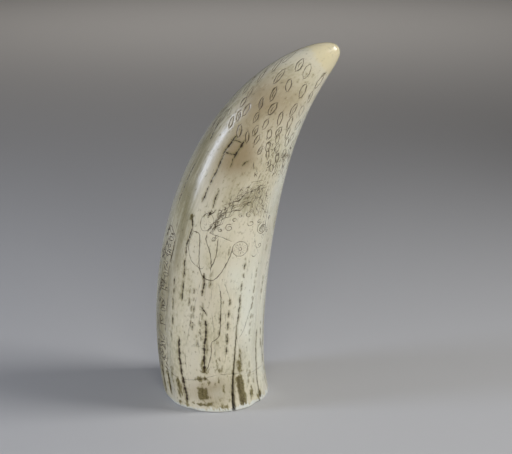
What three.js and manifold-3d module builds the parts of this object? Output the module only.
// Scrimshawed sperm whale tooth, standing on its cut root.
// Millimetres, +Z up. The root's cut lies on z = 0, the tooth bends towards +X, and its engraved
// side faces -Y. Angles run round the tooth, anticlockwise seen from above: 0 is +X, 270 is the front.

import * as THREE from 'three';
import { ConvexGeometry } from 'three/addons/geometries/ConvexGeometry.js';
import { LoftGeometry } from 'three/addons/geometries/LoftGeometry.js';
import { mergeVertices, toCreasedNormals } from 'three/addons/utils/BufferGeometryUtils.js';
import Module from 'manifold-3d';

// Overall sizes
const TIP_HEIGHT = 138.1; // end of the axis, above the cut
const TIP_REACH = 45.5; // end of the axis, past the middle of the cut
const ROOT_WIDTH = 41; // across the cut, in the plane of the bend
const ROOT_DEPTH = 39; // across the cut, square to the bend
const RIM_ROUND = 0.8; // worn edge round the cut

// Pulp cavity, open at the cut
const ROOT_WALL = 8.5;
const CAVITY_DEPTH = 36;

// Drying crack, which opens at the cut
const CRACK_FOOT_ANGLE = 290;
const CRACK_HEAD_ANGLE = 300;
const CRACK_WIDTH = 1.4;
const CRACK_HEIGHT = 36;
const CRACK_DEPTH = 5;
const CRACK_OVERCUT = 2; // how far its cutter stands clear of the tooth

// Pose and swelling of the tooth, as shares of its own height and width
const BACK_SET = 0.043; // the axis first draws back from the bend by this share of the height
const ROOT_RISE = 0.139; // height of the lower handle of the axis
const SHOULDER_RISE = 0.795; // height of the upper handle of the axis
const BELLY_SWELL = 0.303;
const BELLY_SKEW = 1.442;
const TAPER_POWER = 1.206;
const TAPER_SHARPNESS = 0.427;
const TIP_ROUNDNESS = 0.98; // depth over width at the tip
const LEVEL_SHARE = 0.12; // sections turn from level to square with the axis over this share of it
const CAVITY_TAPER = 0.72;

// Longitudinal furrows in the cementum, which fade in above the cut over the level share: angle, half width
// in degrees, share of the greatest depth, and share of the axis reached
const FURROW_DEPTH = 0.9;
const FURROWS = [
  { angle: 216, spread: 9, depth: 0.9, reach: 0.62 },
  { angle: 247, spread: 10, depth: 0.5, reach: 0.5 },
  { angle: 276, spread: 8, depth: 0.4, reach: 0.42 },
  { angle: 331, spread: 8, depth: 0.8, reach: 0.7 },
  { angle: 25, spread: 12, depth: 1, reach: 0.55 },
  { angle: 74, spread: 10, depth: 0.65, reach: 0.6 },
  { angle: 118, spread: 13, depth: 1, reach: 0.5 },
  { angle: 157, spread: 8, depth: 0.55, reach: 0.66 },
];

// Chips out of the rim: angle, half width in degrees, and shares of the largest height and depth
const CHIP_HEIGHT = 3.2;
const CHIP_DEPTH = 1.1;
const CHIPS = [
  { angle: 199, spread: 11, height: 1, depth: 1 },
  { angle: 243, spread: 6, height: 0.55, depth: 0.45 },
  { angle: 322, spread: 7, height: 0.75, depth: 0.8 },
  { angle: 40, spread: 9, height: 0.95, depth: 0.9 },
  { angle: 131, spread: 7, height: 0.7, depth: 0.75 },
];

// Fineness of the facets
const SIDES = 56;
const OUTER_RINGS = 36;
const CAVITY_RINGS = 9;
const RIM_RINGS = 3;
const TIP_CLOSENESS = 1.7; // above 1 draws the rings together towards the tip

const HALF_TURN = 180;
const radians = THREE.MathUtils.degToRad;

const axis = new THREE.CubicBezierCurve3(
  new THREE.Vector3(0, 0, 0),
  new THREE.Vector3(-BACK_SET * TIP_HEIGHT, 0, ROOT_RISE * TIP_HEIGHT),
  new THREE.Vector3(-BACK_SET * TIP_HEIGHT, 0, SHOULDER_RISE * TIP_HEIGHT),
  new THREE.Vector3(TIP_REACH, 0, TIP_HEIGHT),
);

// A soft bump, 1 at the given angle and falling away over the spread on both sides.
function angularBump(angle, at, spread) {
  const apart = THREE.MathUtils.euclideanModulo(angle - at + HALF_TURN, 2 * HALF_TURN) - HALF_TURN;
  return Math.exp(-((apart / spread) ** 2));
}

function furrowDepth(share, angle) {
  let depth = 0;
  for (const furrow of FURROWS) {
    const left = Math.max(0, 1 - share / furrow.reach);
    depth += furrow.depth * Math.sqrt(left) * angularBump(angle, furrow.angle, furrow.spread);
  }
  return FURROW_DEPTH * depth * THREE.MathUtils.smoothstep(share, 0, LEVEL_SHARE);
}

function chipDepth(height, angle) {
  let depth = 0;
  for (const chip of CHIPS) {
    const left = Math.max(0, 1 - height / (CHIP_HEIGHT * chip.height));
    depth += chip.depth * left ** 2 * angularBump(angle, chip.angle, chip.spread);
  }
  return CHIP_DEPTH * depth;
}

// Share of the root's half width that the tooth has at a share of its axis.
function swelling(share) {
  const belly = 1 + BELLY_SWELL * Math.sin(Math.PI * share ** BELLY_SKEW);
  return belly * Math.max(0, 1 - share ** TAPER_POWER) ** TAPER_SHARPNESS;
}

// One ring round the axis. Below the level share its plane turns down to the level of the cut.
function ring(share, halfWidthAt, halfDepthAt) {
  const centre = axis.getPoint(share);
  const direction = axis.getTangent(share);
  const lean = Math.atan2(direction.x, direction.z);
  const tilt = lean * THREE.MathUtils.smoothstep(share, 0, LEVEL_SHARE);
  const across = new THREE.Vector3(Math.cos(tilt), 0, -Math.sin(tilt));
  const away = new THREE.Vector3(0, 1, 0);
  const points = [];
  for (let side = 0; side < SIDES; side++) {
    const angle = (2 * HALF_TURN * side) / SIDES;
    const point = centre.clone();
    point.addScaledVector(across, halfWidthAt(angle) * Math.cos(radians(angle)));
    point.addScaledVector(away, halfDepthAt(angle) * Math.sin(radians(angle)));
    points.push(point);
  }
  return points;
}

function outerRing(share, inset = 0) {
  const height = axis.getPoint(share).z;
  const halfWidth = (ROOT_WIDTH / 2) * swelling(share);
  const roundness = THREE.MathUtils.lerp(ROOT_DEPTH / ROOT_WIDTH, TIP_ROUNDNESS, share);
  const worn = (angle) => inset + furrowDepth(share, angle) + chipDepth(height, angle);
  return ring(
    share,
    (angle) => halfWidth - worn(angle),
    (angle) => halfWidth * roundness - worn(angle),
  );
}

// Rings of the pulp cavity, from the point where it ends down to the cut.
function cavityRings() {
  const rings = [];
  const deepest = shareAtHeight(CAVITY_DEPTH);
  for (let i = 0; i <= CAVITY_RINGS; i++) {
    const closeness = 1 - (i / CAVITY_RINGS) ** 2;
    const opening = (1 - closeness) ** CAVITY_TAPER;
    rings.push(
      ring(
        deepest * closeness,
        () => (ROOT_WIDTH / 2 - ROOT_WALL) * opening,
        () => (ROOT_DEPTH / 2 - ROOT_WALL) * opening,
      ),
    );
  }
  return rings;
}

// Rings of the outside, from the rounded rim up to the point of the tip.
function outsideRings() {
  const rings = [];
  const rimShare = shareAtHeight(RIM_ROUND);
  for (let i = 0; i < RIM_RINGS; i++) {
    const turn = (i / RIM_RINGS) * (Math.PI / 2);
    rings.push(outerRing(rimShare * (1 - Math.cos(turn)), RIM_ROUND * (1 - Math.sin(turn))));
  }
  for (let i = 0; i <= OUTER_RINGS; i++) {
    const left = (1 - i / OUTER_RINGS) ** TIP_CLOSENESS;
    rings.push(outerRing(1 - (1 - rimShare) * left));
  }
  return rings;
}

// Share of the axis at which it reaches a height, found by halving.
function shareAtHeight(height) {
  let low = 0;
  let high = 1;
  for (let i = 0; i < 40; i++) {
    const middle = (low + high) / 2;
    if (axis.getPoint(middle).z < height) low = middle;
    else high = middle;
  }
  return low;
}

// A point of the unworn outside, with the level directions straight out from it and along it.
function wallAt(height, angle) {
  const outward = new THREE.Vector3(Math.cos(radians(angle)), Math.sin(radians(angle)), 0);
  const sideways = new THREE.Vector3(-outward.y, outward.x, 0);
  const share = shareAtHeight(height);
  const halfWidth = (ROOT_WIDTH / 2) * swelling(share);
  const halfDepth = halfWidth * (ROOT_DEPTH / ROOT_WIDTH);
  const point = axis.getPoint(share);
  point.add(new THREE.Vector3(halfWidth * outward.x, halfDepth * outward.y, 0));
  return { point, outward, sideways };
}

// A tapering wedge along the crack: widest at the cut, and a line where it closes.
function crackCutter() {
  const foot = wallAt(0, CRACK_FOOT_ANGLE);
  const head = wallAt(CRACK_HEIGHT, CRACK_HEAD_ANGLE);
  const corners = [];
  for (const side of [-1, 1]) {
    const below = foot.point.clone().setZ(-CRACK_OVERCUT);
    below.addScaledVector(foot.sideways, (side * CRACK_WIDTH) / 2);
    corners.push(below.clone().addScaledVector(foot.outward, CRACK_OVERCUT));
    corners.push(below.clone().addScaledVector(foot.outward, -CRACK_DEPTH));
  }
  corners.push(head.point.clone().addScaledVector(head.outward, CRACK_OVERCUT));
  corners.push(head.point.clone());
  return new ConvexGeometry(corners);
}

const wasm = await Module();
wasm.setup();

// A closed mesh as a solid, without the faces that a ring drawn to a point leaves flat.
function solidFrom(geometry) {
  const bare = geometry.index ? geometry.toNonIndexed() : geometry.clone();
  bare.deleteAttribute('normal');
  bare.deleteAttribute('uv');
  const merged = mergeVertices(bare, 1e-4);
  const triVerts = [];
  for (let i = 0; i < merged.index.count; i += 3) {
    const [a, b, c] = merged.index.array.slice(i, i + 3);
    if (a !== b && b !== c && c !== a) triVerts.push(a, b, c);
  }
  return new wasm.Manifold(
    new wasm.Mesh({
      numProp: 3,
      vertProperties: new Float32Array(merged.attributes.position.array),
      triVerts: new Uint32Array(triVerts),
    }),
  );
}

function geometryFrom(solid) {
  const { vertProperties, triVerts } = solid.getMesh();
  const geometry = new THREE.BufferGeometry();
  geometry.setAttribute('position', new THREE.BufferAttribute(vertProperties, 3));
  geometry.setIndex(new THREE.BufferAttribute(triVerts, 1));
  return toCreasedNormals(geometry, radians(35));
}

function toothGeometry() {
  const sections = [...cavityRings(), ...outsideRings()];
  const blank = new LoftGeometry(sections);
  return geometryFrom(solidFrom(blank).subtract(solidFrom(crackCutter())));
}

const ivory = new THREE.MeshStandardMaterial({ color: 0xd8d0bc, roughness: 0.34, metalness: 0 });
const tooth = new THREE.Mesh(toothGeometry(), ivory);
tooth.name = 'tooth';

// The frame's origin is the middle of the footprint, on the plane of the cut.
tooth.geometry.computeBoundingBox();
const middle = tooth.geometry.boundingBox.getCenter(new THREE.Vector3());
tooth.position.set(-middle.x, -middle.y, 0);

const whaleTooth = new THREE.Group();
whaleTooth.add(tooth);

export default whaleTooth;
